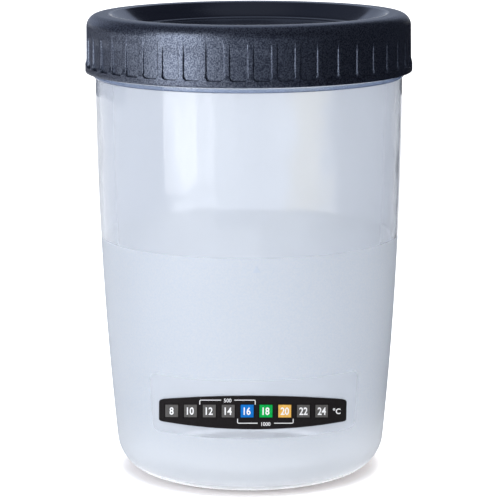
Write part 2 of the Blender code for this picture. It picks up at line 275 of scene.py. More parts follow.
def wall_radius(height):
    """Outer radius of the jar's wall: upright at the ring, then bowed in more and more down to the foot."""
    fallen_share = (RING_HEIGHT - height) / (RING_HEIGHT - WALL_FOOT_HEIGHT)
    return WALL_TOP_RADIUS - WALL_BOW * fallen_share ** 2


def wall_heights():
    rise = RING_HEIGHT - WALL_FOOT_HEIGHT
    return [WALL_FOOT_HEIGHT + rise * i / WALL_RINGS for i in range(WALL_RINGS + 1)]


def base_corner_radius(height, inset):
    return wall_radius(WALL_FOOT_HEIGHT) - inset - wall_slope_at_foot() * (WALL_FOOT_HEIGHT - height)


def jar_path():
    """The jar's section, from the middle of its floor up inside, over the rim and down outside."""
    foot_outer = base_corner_radius(0.0, 0.0) - BASE_ROUNDING
    foot_inner = foot_outer - FOOT_WIDTH
    push_radius = foot_inner - PUSH_UP_RUN
    inside = [
        (0.0, PUSH_UP + FLOOR, 0.0),
        (push_radius + FLOOR / 2, PUSH_UP + FLOOR, PUSH_UP_RUN),
        (foot_inner + FLOOR / 2, FLOOR, FLOOR / 2),
    ]
    inner_wall = [(wall_radius(height) - WALL, height, 0.0) for height in wall_heights()]
    neck = [
        (NECK_RADIUS - NECK_WALL, RING_TOP, 0.0),
        (NECK_RADIUS - NECK_WALL, RIM_HEIGHT, RIM_ROUNDING),
        (NECK_RADIUS, RIM_HEIGHT, RIM_ROUNDING),
        (NECK_RADIUS, RING_TOP, 0.0),
        (WALL_TOP_RADIUS + RING_PROUD, RING_TOP, RING_ROUNDING),
        (WALL_TOP_RADIUS + RING_PROUD, RING_HEIGHT, RING_ROUNDING),
    ]
    outer_wall = [(wall_radius(height), height, 0.0) for height in reversed(wall_heights())]
    foot = [
        (foot_inner, 0.0, 0.0),
        (push_radius, PUSH_UP, 0.0),
        (0.0, PUSH_UP, 0.0),
    ]
    inner_base = (base_corner_radius(FLOOR, WALL), FLOOR, BASE_ROUNDING - WALL)
    outer_base = (base_corner_radius(0.0, 0.0), 0.0, BASE_ROUNDING)
    corners = [*inside, inner_base, *inner_wall, *neck, *outer_wall, outer_base, *foot]
    return rounded_path(corners, JAR_FACET, JAR_MOST_FACETS)


def lid_path():
    """The lid's section, from the middle of its top, out over the crest, down outside and back inside."""
    crest_radius = LID_RADIUS - LID_DRAFT - LID_SHOULDER
    slope_top = crest_radius - LID_CREST_WIDTH
    sink_radius = slope_top - LID_SLOPE_RUN
    panel_radius = sink_radius - LID_PANEL_INSET
    sunk_floor = LID_TOP - LID_SINK
    slope_angle = atan2(LID_SINK, LID_SLOPE_RUN)
    under_radius = sink_radius + LID_WALL * tan(slope_angle / 2)
    plug_outer = NECK_RADIUS - NECK_WALL - PLUG_WALL
    plug_inner = plug_outer - PLUG_WALL
    plug_root = sunk_floor - LID_WALL + (plug_inner - under_radius) * tan(slope_angle)
    bead_top = LID_EDGE + LID_BEAD_DEPTH
    top = [
        (0.0, sunk_floor - LID_PANEL_STEP, 0.0),
        (panel_radius, sunk_floor - LID_PANEL_STEP, LID_PANEL_ROUNDING),
        (panel_radius + LID_PANEL_STEP, sunk_floor, LID_PANEL_ROUNDING),
        (sink_radius, sunk_floor, LID_FLOOR_ROUNDING),
        (slope_top, LID_TOP, LID_CREST_ROUNDING),
    ]
    side = [
        (LID_RADIUS - LID_DRAFT, LID_TOP, LID_SHOULDER),
        (LID_RADIUS, bead_top + LID_BEAD_FLARE, LID_BEAD_FLARE),
        (LID_RADIUS + LID_BEAD_PROUD, bead_top - LID_BEAD_ROUNDING, LID_BEAD_FLARE),
        (LID_RADIUS + LID_BEAD_PROUD, LID_EDGE, LID_EDGE_ROUNDING),
        (SKIRT_RADIUS, LID_EDGE, LID_EDGE_ROUNDING),
        (SKIRT_RADIUS, CEILING, 0.0),
    ]
    underside = [
        (plug_outer, CEILING, 0.0),
        (plug_outer, CEILING - PLUG_DEPTH, LID_EDGE_ROUNDING),
        (plug_inner, CEILING - PLUG_DEPTH, LID_EDGE_ROUNDING),
        (plug_inner, plug_root, 0.0),
        (under_radius, sunk_floor - LID_WALL, 0.0),
        (0.0, sunk_floor - LID_WALL, 0.0),
    ]
    return rounded_path([*top, *side, *underside], LID_FACET, LID_MOST_FACETS)


def ridge(height, azimuth, lowest):
    """How far a thread ridge stands out at a point of its cylinder."""
    proud = 0.0
    for start in range(THREAD_STARTS):
        turned = (azimuth - pi / 2 - THREAD_TURN - 2 * pi * start / THREAD_STARTS) % (2 * pi)
        along = turned / (2 * pi * THREAD_TURN_SHARE)
        if along > 1:
            continue
        fade = min(along, 1 - along) / THREAD_FADE_SHARE
        size = THREAD_ROUND * min(1.0, THREAD_END_SHARE + (1 - THREAD_END_SHARE) * fade)
        off = abs(height - lowest - along * THREAD_RISE) / size
        if off < 1:
            proud = max(proud, size * sqrt(1 - off ** 2))
    return proud


def soft_step(value, low, high):
    """0 up to low and 1 from high, with an even bend between."""
    share = min(1.0, max(0.0, (value - low) / (high - low)))
    return share * share * (3 - 2 * share)


def mark_proud(height, azimuth):
    """The fill mark: a raised triangle that points up, with softened edges."""
    across = azimuth * wall_radius(MARK_HEIGHT)
    up = height - MARK_HEIGHT
    inside = MARK_RADIUS / 2 + up
    for side in (-1, 1):
        inside = min(inside, MARK_RADIUS / 2 - up / 2 - side * across * sqrt(3) / 2)
    return MARK_PROUD * soft_step(inside, *MARK_EDGE)


def jar_azimuths():
    """Columns gathered at the fill mark, and even ones round the rest of the jar."""
    fine = [k * MARK_COLUMN / NECK_RADIUS for k in range(-MARK_COLUMNS, MARK_COLUMNS + 1)]
    edge = fine[-1]
    rest = [edge + (2 * pi - 2 * edge) * k / JAR_COLUMNS for k in range(1, JAR_COLUMNS)]
    return fine + rest


def highest_row(path):
    return max(range(len(path)), key=lambda i: path[i][1])


def make_jar(materials):
    path = jar_path()
    rim = highest_row(path)

    def longest(radius, height, index):
        if index < rim:
            return COARSE_STEP
        if RING_TOP < height < RIM_HEIGHT and radius > NECK_RADIUS - SEAT_GAP:
            return JAR_THREAD_STEP
        if abs(height - MARK_HEIGHT) < MARK_REACH:
            return MARK_STEP
        return COARSE_STEP

    path = densify(path, longest)
    top = highest_row(path)
    lowest = RIM_HEIGHT - THREAD_TOP_LAND - THREAD_RISE

    def place(radius, height, azimuth, row):
        if row <= top:
            return radius
        if height > RING_TOP + SEAT_GAP:
            return radius + ridge(height, azimuth, lowest)
        turn = (azimuth + pi) % (2 * pi) - pi
        if abs(height - MARK_HEIGHT) < MARK_REACH and abs(turn) < MARK_REACH_ANGLE:
            return radius + mark_proud(height, turn)
        return radius

    mesh = turned_mesh("jar", path, jar_azimuths(), place, lambda row: 1 if row < top else 0)
    mesh.set_sharp_from_angle(angle=JAR_SHARP_ANGLE)
    add_piece("jar", mesh, "jar", materials, ["jar_body"])


def lid_azimuths():
    """Columns gathered at the edges of the grip panels, one of which lies on +X."""
    pitch = 2 * pi / GRIP_PANELS
    beside = [GRIP_WIDTH / 2 + offset for offset in GRIP_COLUMNS]
    one = sorted([-offset for offset in beside] + [0.0] + beside) + [pitch * LID_RADIUS / 2]
    return [pi / 2 + i * pitch + o / LID_RADIUS for i in range(GRIP_PANELS) for o in one]


def panel_share(height, azimuth):
    """1 in a grip panel and 0 beside it: straight sides, and rounded corners at the foot."""
    pitch = 2 * pi / GRIP_PANELS
    turned = (azimuth - pi / 2) / pitch
    across = abs(turned - floor(turned + 1 / 2)) * pitch * LID_RADIUS
    up = height - LID_EDGE - GRIP_FOOT
    beyond_side = across - (GRIP_WIDTH / 2 - GRIP_CORNER)
    beyond_foot = GRIP_CORNER - up
    if beyond_side > 0 and beyond_foot > 0:
        inside = GRIP_CORNER - hypot(beyond_side, beyond_foot)
    else:
        inside = GRIP_CORNER - max(beyond_side, beyond_foot)
    return soft_step(inside, *GRIP_EDGE)


def crest_and_edge(path):
    """Rows of the lid's path: its highest, and the outer one of its lower edge."""
    edge = min(range(len(path)), key=lambda i: (round(path[i][1], 6), -path[i][0]))
    return highest_row(path), edge


def make_lid(materials):
    path = lid_path()
    foot = LID_EDGE + GRIP_FOOT
    grip_top = LID_TOP - GRIP_TOP_DROP
    shoulder_middle = LID_TOP - LID_SHOULDER
    reach = sqrt(LID_SHOULDER ** 2 - (grip_top - shoulder_middle) ** 2)
    shoulder_radius = LID_RADIUS - LID_DRAFT - LID_SHOULDER + reach
    floor_radius = LID_RADIUS - GRIP_DEPTH
    crest, edge = crest_and_edge(path)

    def longest(radius, height, index):
        if crest <= index < edge:
            return LID_SIDE_STEP
        if index >= edge and radius > SKIRT_RADIUS - SEAT_GAP / 2:
            return LID_THREAD_STEP
        return LID_INSIDE_STEP if index > edge else COARSE_STEP

    path = densify(path, longest)
    crest, edge = crest_and_edge(path)

    def finer(radius, height, index):
        outside = crest <= index < edge
        if outside and foot - GRIP_CORNER_MARGIN < height < foot + GRIP_CORNER + GRIP_CORNER_MARGIN:
            return GRIP_CORNER_STEP
        if outside and grip_top - GRIP_FADE < height < grip_top + GRIP_FADE_MARGIN:
            return GRIP_FADE_STEP
        return COARSE_STEP

    path = densify(path, finer)
    crest, edge = crest_and_edge(path)
    lowest = RIM_HEIGHT - THREAD_TOP_LAND - THREAD_RISE - THREAD_SPACING / 2

    def place(radius, height, azimuth, row):
        if crest < row < edge and foot < height < grip_top + LID_SHOULDER / 4:
            risen = soft_step(height, grip_top - GRIP_FADE, grip_top)
            cut = radius - (floor_radius + (shoulder_radius - floor_radius) * risen)
            if cut > 0:
                return radius - cut * panel_share(height, azimuth)
        if row > edge and abs(radius - SKIRT_RADIUS) < SEAT_GAP / 3:
            return radius - ridge(height, azimuth, lowest)
        return radius

    def stride_of(row):
        """Columns that one face spans: one at the grip panels, more where the lid is plain."""
        if crest < row < edge and foot - GRIP_FINE_BELOW < path[row][1] < grip_top + GRIP_FINE_ABOVE:
            return 1
        return LID_STRIDE

    mesh = turned_mesh("lid_shell", path, lid_azimuths(), place, lambda row: 0, stride_of)
    mesh.set_sharp_from_angle(angle=LID_SHARP_ANGLE)
    add_piece("lid_shell", mesh, "lid", materials, ["lid"])


# Print on the strip: thickness, figures (height, share of their own width, weight), brackets
INK = 0.00004
SCALE_FIGURES = (0.0028, 0.80, 0.02)
UNIT_FIGURES = (0.0022, 0.95, 0.02)
UNIT_ACROSS = 0.02955
LINE_WIDTH = 0.00026
BRACKET_CORNER = 0.0004
BEND_STEPS = 5
RUN_STEPS = 6
# Brackets: ends across, level of the line, level of the ticks' ends, gap for the figures
BRACKETS = [
    ((-0.0188, 0.0005), 0.00463, 0.0030, (-0.0114, -0.0068)),
    ((-0.0056, 0.0139), -0.00381, -0.0022, (0.0014, 0.0072)),
]
# Amounts in the brackets: text, middle, then figures as above
AMOUNTS = [
    ("500", (-0.0091, 0.00448), (0.00138, 0.95, 0.01)),
    ("1000", (0.0043, -0.00412), (0.00138, 0.92, 0.01)),
]


def wrap_on_wall(across, up, out):
    """Place a point of the flat strip on the jar's wall, as the part's source does."""
    across, up = Matrix.Rotation(STRIP_ROLL, 2) @ Vector((across, up))
    front_radius = wall_radius(STRIP_HEIGHT) + STRIP_FACE
    droop = (front_radius - sqrt(front_radius ** 2 - across ** 2)) * tan(STRIP_READING_ANGLE)
    height = STRIP_HEIGHT + up - droop
    azimuth = asin(across / (wall_radius(height) + STRIP_FACE)) + STRIP_TURN
    radius = wall_radius(height) + out
    return Vector((radius * sin(azimuth), -radius * cos(azimuth), height))


def figure_mesh(text, middle, figures):
    """Figures as a thin flat solid, centred on middle."""
    height, width_share, weight = figures
    curve = bpy.data.curves.new("figures", "FONT")
    curve.body = text
    curve.size = 1.0
    curve.extrude = 0.5
    curve.offset = weight
    curve.resolution_u = 4
    holder = bpy.data.objects.new("figures", curve)
    bpy.context.scene.collection.objects.link(holder)
    mesh = bpy.data.meshes.new_from_object(holder.evaluated_get(bpy.context.evaluated_depsgraph_get()))
    bpy.data.objects.remove(holder, do_unlink=True)
    bpy.data.curves.remove(curve)
    points = [v.co.copy() for v in mesh.vertices]
    low = Vector([min(p[k] for p in points) for k in range(3)])
    high = Vector([max(p[k] for p in points) for k in range(3)])
    scale = height / (high.y - low.y)
    for v in mesh.vertices:
        across = (v.co.x - (low.x + high.x) / 2) * scale * width_share + middle[0]
        up = (v.co.y - (low.y + high.y) / 2) * scale + middle[1]
        v.co = (across, up, STRIP_FACE + INK * (v.co.z + 0.5))
    return mesh


def ribbon_mesh(line, width):
    """A printed line as a thin flat solid along points (across, up)."""
    bm = bmesh.new()
    rows = []
    for i, point in enumerate(line):
        here = Vector(point)
        before = Vector(line[max(i - 1, 0)])
        after = Vector(line[min(i + 1, len(line) - 1)])
        ahead = (after - before).normalized()
        normal = Vector((-ahead.y, ahead.x)) * width / 2
        corners = [(here + normal, 0.0), (here - normal, 0.0), (here - normal, INK), (here + normal, INK)]
        rows.append([bm.verts.new((p.x, p.y, STRIP_FACE + out)) for p, out in corners])
    for a, b in zip(rows, rows[1:]):
        for k in range(4):
            bm.faces.new((a[k], a[(k + 1) % 4], b[(k + 1) % 4], b[k]))
    bm.faces.new(rows[0][::-1])
    bm.faces.new(rows[-1])
    bmesh.ops.recalc_face_normals(bm, faces=bm.faces)
    mesh = bpy.data.meshes.new("ribbon")
    bm.to_mesh(mesh)
    bm.free()
    return mesh


def wrapped_piece(name, meshes, material):
    """Join flat meshes, lay them on the wall and ride them on the jar."""
    bm = bmesh.new()
    for mesh in meshes:
        bm.from_mesh(mesh)
        bpy.data.meshes.remove(mesh)
    bmesh.ops.remove_doubles(bm, verts=bm.verts, dist=NOTHING)
    for vert in bm.verts:
        vert.co = wrap_on_wall(*vert.co)
    made = bpy.data.meshes.new(name)
    bm.to_mesh(made)
    bm.free()
    add_piece(name, made, "jar", [material])


def bracket_lines(ends, level, tick_level, gap):
    """Two lines of a bracket, on either side of its figures, with rounded corners down to the ticks."""
    towards = 1 if tick_level > level else -1
    made = []
    for end, inner in zip(ends, gap):
        side = 1 if inner > end else -1
        line = [(end, tick_level)]
        for k in range(BEND_STEPS + 1):
            turn = radians(90) * k / BEND_STEPS
            across = end + side * BRACKET_CORNER * (1 - cos(turn))
            line.append((across, level + towards * BRACKET_CORNER * (1 - sin(turn))))
        run = line[-1][0]
        line += [(run + (inner - run) * k / RUN_STEPS, level) for k in range(1, RUN_STEPS + 1)]
        made.append(ribbon_mesh(line, LINE_WIDTH))
    return made


def make_print(ink):
    figures = []
    for i, degrees in enumerate(WINDOW_DEGREES):
        middle = (FIRST_WINDOW_OFFSET + i * WINDOW_PITCH, WINDOW_LIFT)
        figures.append(figure_mesh(str(degrees), middle, SCALE_FIGURES))
    wrapped_piece("scale_figures", figures, ink)
    wrapped_piece("unit_mark", [figure_mesh("°C", (UNIT_ACROSS, WINDOW_LIFT), UNIT_FIGURES)], ink)
    wrapped_piece("bracket_lines", [line for bracket in BRACKETS for line in bracket_lines(*bracket)], ink)
    wrapped_piece("bracket_figures", [figure_mesh(*amount) for amount in AMOUNTS], ink)


# Materials: index of refraction, colours (linear) and the places where they change
PLASTIC_IOR = 1.49
CLEAR = (0.80, 0.835, 0.885)
# Paler clear plastic at the foot: painted light against the shade there
CLEAR_PAINTED_LIGHT_AT_FOOT = (0.91, 0.94, 0.98)
FROST_DARK = (0.725, 0.785, 0.86)
FROST_PALE = (0.79, 0.825, 0.87)
FROST_AT_MARK = (0.70, 0.77, 0.87)
# Paler frosted plastic towards the foot: painted light against the shade there
FROST_PAINTED_LIGHT_AT_FOOT = (0.925, 0.96, 1.0)
# Ring under the lid: painted shade where the lid's shadow falls, darker towards the ring's foot, and a
# painted highlight along its lip
RING_SHADE_UPPER = (0.30, 0.38, 0.54)
RING_SHADE_LOWER = (0.16, 0.22, 0.38)
RING_LIP_HIGHLIGHT = (0.82, 0.88, 0.97)
JAR_INSIDE = (0.87, 0.90, 0.945)
# Heights over which the painted light towards the foot fades in, for the frosted and the clear plastic
FOOT_FROST_SPAN = (0.030, 0.006)
FOOT_CLEAR_SPAN = (0.0050, 0.0020)
FOOT_PASS_SPAN = (0.0050, 0.0025)
FROST_FADE = 0.0005
FROST_FOOT_FADE = 0.0020
WINDOW_FADE = 0.0003
MARK_SHADE_EDGE = (-0.0001, 0.0002)
# Edges of the ring's painted shade and of the painted highlight on its lip
RING_FADE = 0.0001
RING_TOP_FADE = 0.0003
RING_LIP_FOOT = 0.0005
RING_LIP_TOP = 0.0002

LID_IOR = 1.9
LID_COLOUR = (0.016, 0.018, 0.028)
LID_DARK = (0.0025, 0.003, 0.006)
LID_PALE = (0.007, 0.0085, 0.015)
LID_RECESS = (0.006, 0.007, 0.012)
SIDE_TINT = ((0.28, 0.33, 0.48), (0.87, 0.99, 1.25))
# Reflections a shade darker below the grip panels' feet: painted shade on the bead
BEAD_SHADE_TINT = ((0.20, 0.23, 0.34), (0.70, 0.80, 1.02))
# Reflections in the sunk top tinted darker than on the side, darkest on its inner panel: painted shade
RECESS_SHADE_TINT = ((0.50, 0.56, 0.70), (0.25, 0.28, 0.36))
RECESS_RADII = (0.0508, 0.0500)
RECESS_HEIGHTS = (0.1605, 0.1608)
PANEL_RADII = (0.0438, 0.0430)
BEAD_FADE = 0.0003

SEAL_COLOUR = (0.75, 0.76, 0.78)
INK_COLOUR = (0.86, 0.86, 0.86)
STRIP_COLOUR = (0.0125, 0.0108, 0.0112)
RESTING_COLOUR = (0.102, 0.098, 0.094)
LIT_COLOURS = {
    16: ("crystal_blue", (0.007, 0.155, 0.51)),
    18: ("crystal_green", (0.005, 0.37, 0.07)),
    20: ("crystal_tan", (0.75, 0.43, 0.10)),
}


class Tree:
    """Small helper that writes shader nodes."""

    def __init__(self, tree):
        self.tree = tree

    def put(self, socket, value):
        if isinstance(value, bpy.types.NodeSocket):
            self.tree.links.new(value, socket)
        elif value is not None:
            socket.default_value = value

    def node(self, kind, **settings):
        made = self.tree.nodes.new(kind)
        for name, value in settings.items():
            setattr(made, name, value)
        return made

    def math(self, operation, a, b=None, c=None):
        made = self.node("ShaderNodeMath", operation=operation)
        for socket, value in zip(made.inputs, (a, b, c)):
            self.put(socket, value)
        return made.outputs[0]

    def length(self, a, b):
        squares = self.math("ADD", self.math("POWER", a, 2.0), self.math("POWER", b, 2.0))
        return self.math("SQRT", squares)

    def azimuth(self, x, y):
        """Turn from the front, -Y, towards +X."""
        return self.math("ARCTAN2", x, self.math("MULTIPLY", y, -1.0))

    def ramp(self, value, low, high, to_low=0.0, to_high=1.0, kind="SMOOTHSTEP"):
        made = self.node("ShaderNodeMapRange", interpolation_type=kind)
        for socket, number in zip(made.inputs, (value, low, high, to_low, to_high)):
            self.put(socket, number)
        return made.outputs[0]

    def blend(self, share, a, b):
        """From colour a at 0 to colour b at 1, each three numbers or a socket."""
        made = self.node("ShaderNodeMix", data_type="RGBA")
        self.put(made.inputs["Factor"], share)
        for socket, colour in ((made.inputs[6], a), (made.inputs[7], b)):
            self.put(socket, (*colour, 1.0) if isinstance(colour, tuple) else colour)
        return made.outputs[2]

    def noise(self, where, scale, detail=2.0, roughness=0.5):
        made = self.node("ShaderNodeTexNoise")
        self.put(made.inputs["Vector"], where)
        self.put(made.inputs["Scale"], scale)
        self.put(made.inputs["Detail"], detail)
        self.put(made.inputs["Roughness"], roughness)
        return made.outputs[0]

    def bump(self, height, strength, distance, normal=None):
        made = self.node("ShaderNodeBump")
        self.put(made.inputs["Strength"], strength)
        self.put(made.inputs["Distance"], distance)
        self.put(made.inputs["Height"], height)
        self.put(made.inputs["Normal"], normal)
        return made.outputs[0]

    def where(self):
        """Object coordinates, and their x, y and z."""
        place = self.node("ShaderNodeTexCoord").outputs["Object"]
        split = self.node("ShaderNodeSeparateXYZ")
        self.put(split.inputs[0], place)
        return place, *split.outputs


def new_material(name, colour, roughness, **sockets):
    made = bpy.data.materials.new(name)
    made.use_nodes = True
    shader = made.node_tree.nodes["Principled BSDF"]
    tree = Tree(made.node_tree)
    tree.put(shader.inputs["Base Color"], (*colour, 1.0))
    tree.put(shader.inputs["Roughness"], roughness)
    for socket, value in sockets.items():
        tree.put(shader.inputs[socket.replace("_", " ")], value)
    return made, tree, shader


def frost_share(tree, x, y, z):
    """1 where the wall is frosted: below the frost line, above the foot and outside the window."""
    below = tree.ramp(z, FROST_HEIGHT + FROST_FADE, FROST_HEIGHT - FROST_FADE)
    above = tree.ramp(z, FROST_FOOT - FROST_FOOT_FADE, FROST_FOOT + FROST_FOOT_FADE)
    from_window = tree.math("ABSOLUTE", tree.math("SUBTRACT", tree.azimuth(x, y), WINDOW_TURN))
    across = tree.math("MULTIPLY", from_window, wall_radius(STRIP_HEIGHT))
    half_width = WINDOW_HALF_TURN * wall_radius(STRIP_HEIGHT)
    beyond_side = tree.math("SUBTRACT", across, half_width - WINDOW_CORNER)
    from_middle = tree.math("ABSOLUTE", tree.math("SUBTRACT", z, (WINDOW_LOW + WINDOW_HIGH) / 2))
    beyond_level = tree.math("SUBTRACT", from_middle, (WINDOW_HIGH - WINDOW_LOW) / 2 - WINDOW_CORNER)
    corner = tree.length(tree.math("MAXIMUM", beyond_side, 0.0), tree.math("MAXIMUM", beyond_level, 0.0))
    outside = tree.ramp(corner, WINDOW_CORNER - WINDOW_FADE, WINDOW_CORNER + WINDOW_FADE)
    return tree.math("MULTIPLY", tree.math("MULTIPLY", below, above), outside)


def mark_share(tree, x, y, z):
    """1 on the raised fill mark, which is a shade darker than the frosted wall around it."""
    up = tree.math("SUBTRACT", z, MARK_HEIGHT)
    turn = tree.math("ABSOLUTE", tree.azimuth(x, y))
    across = tree.math("MULTIPLY", turn, wall_radius(MARK_HEIGHT) * sqrt(3) / 2)
    slant = tree.math("SUBTRACT", tree.math("MULTIPLY_ADD", up, -0.5, MARK_RADIUS / 2), across)
    inside = tree.math("MINIMUM", slant, tree.math("ADD", up, MARK_RADIUS / 2))
    return tree.ramp(inside, *MARK_SHADE_EDGE)


def jar_outside():
    """Polished above the frost line, in the window and at the foot, and frosted elsewhere."""
    made, tree, shader = new_material("jar_outer", CLEAR, 0.08, IOR=PLASTIC_IOR)
    place, x, y, z = tree.where()
    frost = frost_share(tree, x, y, z)
    mottle = tree.ramp(tree.noise(place, 1500.0, 1.0), 0.3, 0.7, kind="LINEAR")
    frosted = tree.blend(mottle, FROST_DARK, FROST_PALE)
    frosted = tree.blend(mark_share(tree, x, y, z), frosted, FROST_AT_MARK)
    # Frosted wall paler towards the foot: painted light
    frosted = tree.blend(tree.ramp(z, *FOOT_FROST_SPAN), frosted, FROST_PAINTED_LIGHT_AT_FOOT)
    # Painted shade on the ring under the lid, darker towards its foot, with a painted highlight along its
    # lip
    above_ring_foot = tree.ramp(z, RING_HEIGHT - RING_FADE, RING_HEIGHT + RING_FADE)
    ring = tree.math("MULTIPLY", above_ring_foot, tree.ramp(z, RING_TOP + RING_TOP_FADE, RING_TOP))
    ring_shade = tree.blend(tree.ramp(z, RING_TOP, RING_HEIGHT), RING_SHADE_UPPER, RING_SHADE_LOWER)
    ring_shade = tree.blend(tree.ramp(z, RING_TOP - RING_LIP_FOOT, RING_TOP - RING_LIP_TOP), ring_shade, RING_LIP_HIGHLIGHT)
    clear = tree.blend(ring, CLEAR, ring_shade)
    # Clear plastic paler at the foot: painted light
    clear = tree.blend(tree.ramp(z, *FOOT_CLEAR_SPAN), clear, CLEAR_PAINTED_LIGHT_AT_FOOT)
    tree.put(shader.inputs["Base Color"], tree.blend(frost, clear, frosted))
    tree.put(shader.inputs["Roughness"], tree.math("ADD", tree.math("MULTIPLY", frost, 0.38), 0.06))
    passed = tree.math("ADD", tree.math("MULTIPLY", frost, -0.14), 0.70)
    passed = tree.math("ADD", passed, tree.ramp(z, *FOOT_PASS_SPAN, 0.0, -0.26))
    tree.put(shader.inputs["Transmission Weight"], passed)
    waves = tree.bump(tree.noise(place, 55.0, 1.0), 1.0, 0.00022)
    fine = tree.noise(place, 3600.0, 2.0, 0.6)
    tree.put(shader.inputs["Normal"], tree.bump(fine, tree.math("MULTIPLY", frost, 0.5), 0.00003, waves))
    return made


def jar_inside():
    made, tree, shader = new_material("jar_inner", JAR_INSIDE, 0.12, IOR=PLASTIC_IOR)
    place = tree.where()[0]
    tree.put(shader.inputs["Transmission Weight"], 0.94)
    tree.put(shader.inputs["Roughness"], tree.ramp(tree.noise(place, 90.0), 0.3, 0.7, 0.06, 0.10, "LINEAR"))
    tree.put(shader.inputs["Normal"], tree.bump(tree.noise(place, 70.0, 1.0), 1.0, 0.0002))
    return made


def lid_material():
    """Fine moulded grain outside, and gloss in the sunk top."""
    made, tree, shader = new_material("lid_grain", LID_COLOUR, 0.45, IOR=LID_IOR)
    shader.inputs["Specular IOR Level"].default_value = 1.0
    place, x, y, z = tree.where()
    radius = tree.length(x, y)
    gloss = tree.math("MULTIPLY", tree.ramp(radius, *RECESS_RADII), tree.ramp(z, *RECESS_HEIGHTS))
    matte = tree.math("SUBTRACT", 1.0, gloss)
    grain = tree.noise(place, 2150.0, 1.0, 0.6)
    speck = tree.ramp(grain, 0.34, 0.66)
    colour = tree.blend(speck, LID_DARK, LID_PALE)
    tree.put(shader.inputs["Base Color"], tree.blend(gloss, colour, LID_RECESS))
    # Reflections a shade darker below the grip panels' feet: painted shade on the bead
    bead_top = LID_EDGE + GRIP_FOOT
    on_bead = tree.ramp(z, bead_top + BEAD_FADE, bead_top - BEAD_FADE)
    tint = tree.blend(on_bead, tree.blend(speck, *SIDE_TINT), tree.blend(speck, *BEAD_SHADE_TINT))
    # Reflections in the sunk top tinted darker, darkest on its inner panel: painted shade
    recess_shade_tint = tree.blend(tree.ramp(radius, *PANEL_RADII), *RECESS_SHADE_TINT)
    tree.put(shader.inputs["Specular Tint"], tree.blend(gloss, tint, recess_shade_tint))
    rough = tree.math("MULTIPLY", tree.ramp(grain, 0.3, 0.7, 0.28, 0.36, "LINEAR"), matte)
    tree.put(shader.inputs["Roughness"], tree.math("ADD", rough, tree.math("MULTIPLY", gloss, 0.13)))
    tree.put(shader.inputs["Normal"], tree.bump(grain, matte, 0.00010))
    return made


def seal_material():
    made, tree, shader = new_material("seal_soft", SEAL_COLOUR, 0.6)
    grain = tree.noise(tree.where()[0], 1200.0, 3.0)
    tree.put(shader.inputs["Roughness"], tree.ramp(grain, 0.3, 0.7, 0.5, 0.68, "LINEAR"))
    tree.put(shader.inputs["Normal"], tree.bump(grain, 0.3, 0.00004))
    return made


def film_material(name, colour, spread=0.1, roughness=0.42):
    """Printed film: a faint mottle in colour and sheen."""
    made, tree, shader = new_material(name, colour, roughness)
    shader.inputs["Specular IOR Level"].default_value = 0.06
    mottle = tree.noise(tree.where()[0], 900.0, 3.0, 0.6)
    low = tuple(c * (1 - spread) for c in colour)
    high = tuple(min(1.0, c * (1 + spread)) for c in colour)
    tree.put(shader.inputs["Base Color"], tree.blend(tree.ramp(mottle, 0.3, 0.7), low, high))
    sheen = tree.ramp(mottle, 0.3, 0.7, roughness - 0.05, roughness + 0.07, "LINEAR")
    tree.put(shader.inputs["Roughness"], sheen)
    tree.put(shader.inputs["Normal"], tree.bump(mottle, 0.25, 0.00002))
    return made


def set_material(node, material):
    node.data.materials.clear()
    node.data.materials.append(material)


def dress_cad_nodes():
    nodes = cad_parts
    set_material(nodes["lid_seal_ring"], seal_material())
    set_material(nodes["strip_carrier"], film_material("strip_film", STRIP_COLOUR))
    resting = film_material("crystal_grey", RESTING_COLOUR)
    lit = {degrees: film_material(*named) for degrees, named in LIT_COLOURS.items()}
    for degrees in WINDOW_DEGREES:
        set_material(nodes[f"crystal_window_{degrees:02d}"], lit.get(degrees, resting))


# Stage: floor, cards that only reflections or only the clear plastic show, lamps and world
WHITE = (1.0, 1.0, 1.0)
BLACK = (0.0, 0.0, 0.0)
DARK = (0.010, 0.012, 0.020)
MIDDLE = (0.24, 0.255, 0.29)
PALE = (0.50, 0.52, 0.57)

# Floor: its glow from close under the object to the open, as the camera, mirrors and clear plastic see it;
# close in, the dim glow to the camera is a painted contact shadow, and the bright glow to mirrors and
# through the plastic is painted light
FLOOR_REACH = 4.0
FLOOR_DROP = 0.00005
FLOOR_COLOUR = (0.86, 0.85, 0.84)
SHADOW_REACH = 0.009
SHADOW_SPAN = (0.36, 0.86)
FLOOR_SEEN = ((0.13, 0.10, 0.09), (0.90, 0.90, 0.90))
FLOOR_MIRRORED = ((1.30, 1.30, 1.32), (0.15, 0.15, 0.15))
FLOOR_THROUGH = ((2.00, 2.00, 2.02), (0.55, 0.55, 0.55))

# Cards: name, azimuths of the sides, distance, foot and top, glow at either side
CARD_STEPS = 24
CARDS = [
    ("card_front_left", (-26, 6), 0.45, (0.001, 0.26), (PALE, MIDDLE)),
    ("card_front_right", (6, 46), 0.45, (0.001, 0.26), (MIDDLE, DARK)),
    ("card_right", (46, 150), 0.42, (0.001, 0.55), (DARK, DARK)),
    ("card_back_right", (150, 176), 0.42, (0.09, 0.163), (DARK, DARK)),
    ("card_back_left", (-176, -100), 0.42, (0.09, 0.163), ((0.08, 0.09, 0.13), (0.08, 0.09, 0.13))),
    ("shade_left", (-176.6, -150), 0.45, (0.001, 0.14), ((0.78, 0.81, 0.89), (0.60, 0.64, 0.74))),
    ("glow_right", (171.2, 174.0), 0.45, (0.001, 0.14), ((1.20, 1.13, 1.00), (1.20, 1.13, 1.00))),
    ("shade_right", (150, 170.6), 0.45, (0.001, 0.14), ((0.34, 0.38, 0.47), (0.86, 0.88, 0.93))),
]
# Cards that the clear plastic shows, and not its reflections
THROUGH_CARDS = ("shade_left", "glow_right", "shade_right")
